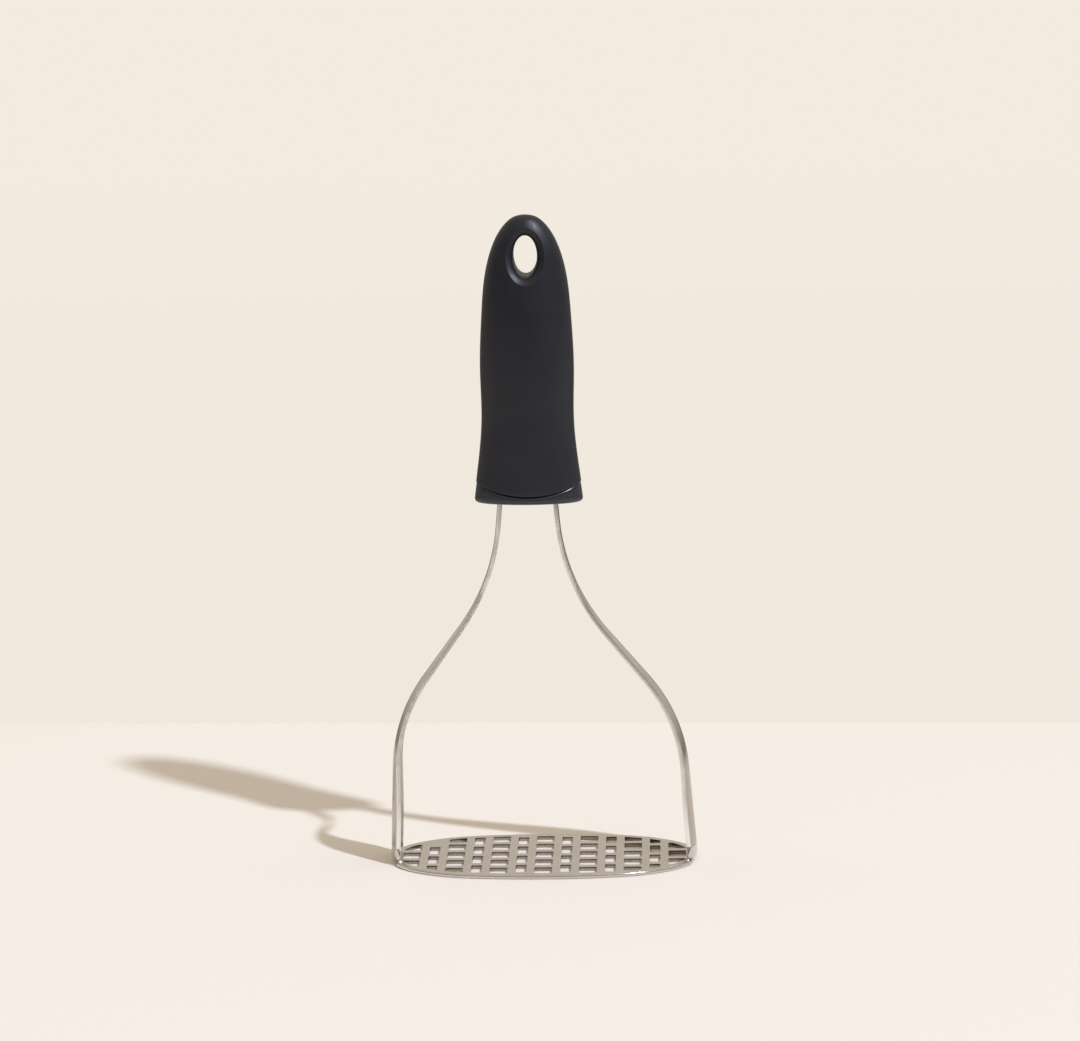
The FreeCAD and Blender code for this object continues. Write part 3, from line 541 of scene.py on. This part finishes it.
def edge_marks(outline_only):
    """Joins a CAD mesh's faces and marks its sharp edges for the bevel: all, or only the plate's outline."""
    group = bpy.data.node_groups.new("edge_marks", "GeometryNodeTree")
    for way in ("INPUT", "OUTPUT"):
        group.interface.new_socket("Geometry", in_out=way, socket_type="NodeSocketGeometry")
    g = Nodes(group)
    sharp = g.maths("GREATER_THAN", g.node("GeometryNodeInputMeshEdgeAngle").outputs["Unsigned Angle"], SHARP)
    marked = sharp
    if outline_only:
        reach = from_middle(g, g.node("GeometryNodeInputPosition").outputs[0])
        marked = g.maths("MULTIPLY", sharp, g.maths("GREATER_THAN", reach, OUTLINE))
    whole = g.made(g.node("GeometryNodeMergeByDistance"),
                   {"Geometry": g.node("NodeGroupInput").outputs[0], "Distance": JOIN})
    weighted = g.made(g.node("GeometryNodeStoreNamedAttribute", data_type="FLOAT", domain="EDGE"),
                      {"Geometry": whole, "Name": "bevel_weight_edge", "Value": marked})
    rounded = g.made(g.node("GeometryNodeSetShadeSmooth"), {"Geometry": weighted})
    left = g.maths("SUBTRACT", sharp, marked)
    crisp = g.made(g.node("GeometryNodeSetShadeSmooth", domain="EDGE"),
                   {"Geometry": rounded, "Selection": left, "Shade Smooth": False})
    g.put(crisp, g.node("NodeGroupOutput").inputs[0])
    return group


def round_edges(node, radius, outline_only=False):
    marks = node.modifiers.new("edge_marks", "NODES")
    marks.node_group = edge_marks(outline_only)
    bevel = node.modifiers.new("rounded_edges", "BEVEL")
    bevel.width = radius
    bevel.segments = EDGE_STEPS
    bevel.limit_method = "WEIGHT"
    bevel.harden_normals = True
    bevel.use_clamp_overlap = not outline_only     # the clamp would shrink the outline's rounding


round_edges(nodes["mashing_plate"], PLATE_EDGE, outline_only=True)
for side in ("left", "right"):
    round_edges(nodes[side + "_strap"], STRAP_EDGE)


# ---------------------------------------------------------------- camera and key light, in metres

CAMERA_PLACE = (0.0522, -1.9448, 0.5183)
CAMERA_TURN = (11.0888, -1.5325, -0.8578)        # down, right and over, in degrees
LENS, SENSOR = 168.205, 36                       # mm
VIEW_END = 20
KEY_PLACE, KEY_SIZE = (0.901, -0.891, 1.60), 0.046
KEY_COLOUR, KEY_STRENGTH = (0.77, 0.86, 1.0), 32.6


def aim(location, pitch, yaw, roll):
    """World matrix of a camera at location, looking along +Y, then down, right and over, in degrees."""
    p, y, r = (math.radians(angle) for angle in (pitch, yaw, roll))
    ahead = Vector((math.sin(y) * math.cos(p), math.cos(y) * math.cos(p), -math.sin(p)))
    level = Vector((math.cos(y), -math.sin(y), 0))
    upright = level.cross(ahead)
    side = level * math.cos(r) + upright * math.sin(r)
    top = upright * math.cos(r) - level * math.sin(r)
    turn = Matrix((side, top, -ahead)).transposed()
    return Matrix.Translation(location) @ turn.to_4x4()


def make_camera():
    camera = bpy.data.objects.new("camera", bpy.data.cameras.new("camera"))
    bpy.context.scene.collection.objects.link(camera)
    camera.matrix_world = aim(CAMERA_PLACE, *CAMERA_TURN)
    camera.data.lens = LENS
    camera.data.sensor_width = SENSOR
    camera.data.clip_end = VIEW_END
    bpy.context.scene.camera = camera
    bpy.context.scene.view_settings.view_transform = "Standard"


def make_key_light():
    """A lamp that is as strong near it as far from it."""
    key = bpy.data.objects.new("key", bpy.data.lights.new("key", "POINT"))
    bpy.context.scene.collection.objects.link(key)
    key.location = KEY_PLACE
    key.data.shadow_soft_size = KEY_SIZE
    key.data.energy = 1.0
    key.data.color = KEY_COLOUR
    key.data.use_nodes = True
    lamp = Nodes(key.data.node_tree)
    even = lamp.made(lamp.node("ShaderNodeLightFalloff"), {"Strength": KEY_STRENGTH}, "Constant")
    lamp.put(even, lamp.tree.nodes["Emission"].inputs["Strength"])


# ---------------------------------------------------------------- backdrop and table

WALL = (0.896, 0.831, 0.745)         # the backdrop that the camera sees
FILL = (0.643, 0.583, 0.496)         # colour of the room's light on the object
FRONT_LEVEL, BACK_LEVEL, TOP_LEVEL, UNDER_LEVEL = 0.3, 1.0, 1.12, 0.4
WALL_LOW_LEVEL = 0.972               # of the backdrop's lowest part, a painted shade where the wall meets the table
# Where the room changes, along the away and up parts of a direction.
FRONT_TO_BACK, SKYLINE, OVERHEAD, WALL_LOW = (-0.35, 0.35), (-0.14, 0.02), (0.25, 0.75), (-0.17, -0.12)
# the table's colour near the lamp and far from it, painted lighter far away to make up for the lamp's weaker
# light there
TABLE_NEAR, TABLE_FAR = (0.80, 0.737, 0.673), (0.84, 0.775, 0.71)
TABLE_BACK, TABLE_FRONT, TABLE_SIDE = 0.232, -0.62, 1.2
TABLE_SLANT = math.tan(math.radians(-2.0))
TABLE_FADE = -0.4, 0.4               # from near to far, in metres from the right front to the left back, over which the painted light comes in


def make_world():
    """The seen backdrop, and a room that is bright above and behind, and dim on the camera's side."""
    world = bpy.data.worlds.new("studio")
    bpy.context.scene.world = world
    world.use_nodes = True
    world.node_tree.nodes.clear()
    w = Nodes(world.node_tree)

    def ramp(source, stops, low, high):
        return w.spread(source, low, high, *stops, "SMOOTHSTEP")

    _, away, up = w.split(w.node("ShaderNodeTexCoord").outputs["Generated"])
    behind = ramp(away, FRONT_TO_BACK, FRONT_LEVEL, BACK_LEVEL)
    under = ramp(away, FRONT_TO_BACK, FRONT_LEVEL, UNDER_LEVEL)
    sides = w.between(ramp(up, SKYLINE, 0, 1), under, behind)
    level = w.between(ramp(up, OVERHEAD, 0, 1), sides, TOP_LEVEL)
    # painted shade on the backdrop's lowest part
    wall_level = ramp(up, WALL_LOW, WALL_LOW_LEVEL, 1)
    fill = w.made(w.node("ShaderNodeBackground"), {"Color": FILL, "Strength": level})
    seen = w.made(w.node("ShaderNodeBackground"), {"Color": WALL, "Strength": wall_level})
    is_camera = w.node("ShaderNodeLightPath").outputs["Is Camera Ray"]
    light = w.made(w.node("ShaderNodeMixShader"), {0: is_camera, 1: fill, 2: seen})
    w.put(light, w.node("ShaderNodeOutputWorld").inputs[0])


def make_table():
    """A pale table top that ends behind the object, at a slight slant, its colour painted lighter away from
    the lamp, where the lamp's light is weaker.
    """
    lean = TABLE_SLANT * TABLE_SIDE
    corners = [(-TABLE_SIDE, TABLE_FRONT), (TABLE_SIDE, TABLE_FRONT),
               (TABLE_SIDE, TABLE_BACK + lean), (-TABLE_SIDE, TABLE_BACK - lean)]
    mesh = bpy.data.meshes.new("table")
    mesh.from_pydata([(x, y, 0) for x, y in corners], [], [(0, 1, 2, 3)])
    table = bpy.data.objects.new("table", mesh)
    bpy.context.scene.collection.objects.link(table)
    s = Shader("table_with_painted_light")
    x, y, _ = s.split(s.where)
    # painted light: the table's colour grows lighter away from the lamp
    away = s.spread(s.maths("SUBTRACT", y, x), 0, 1, *TABLE_FADE)
    s.surface("Base Color", s.blend(away, TABLE_NEAR, TABLE_FAR))
    s.surface("Roughness", 0.9)
    dress(table, s.material)


make_camera()
make_key_light()
make_world()
make_table()
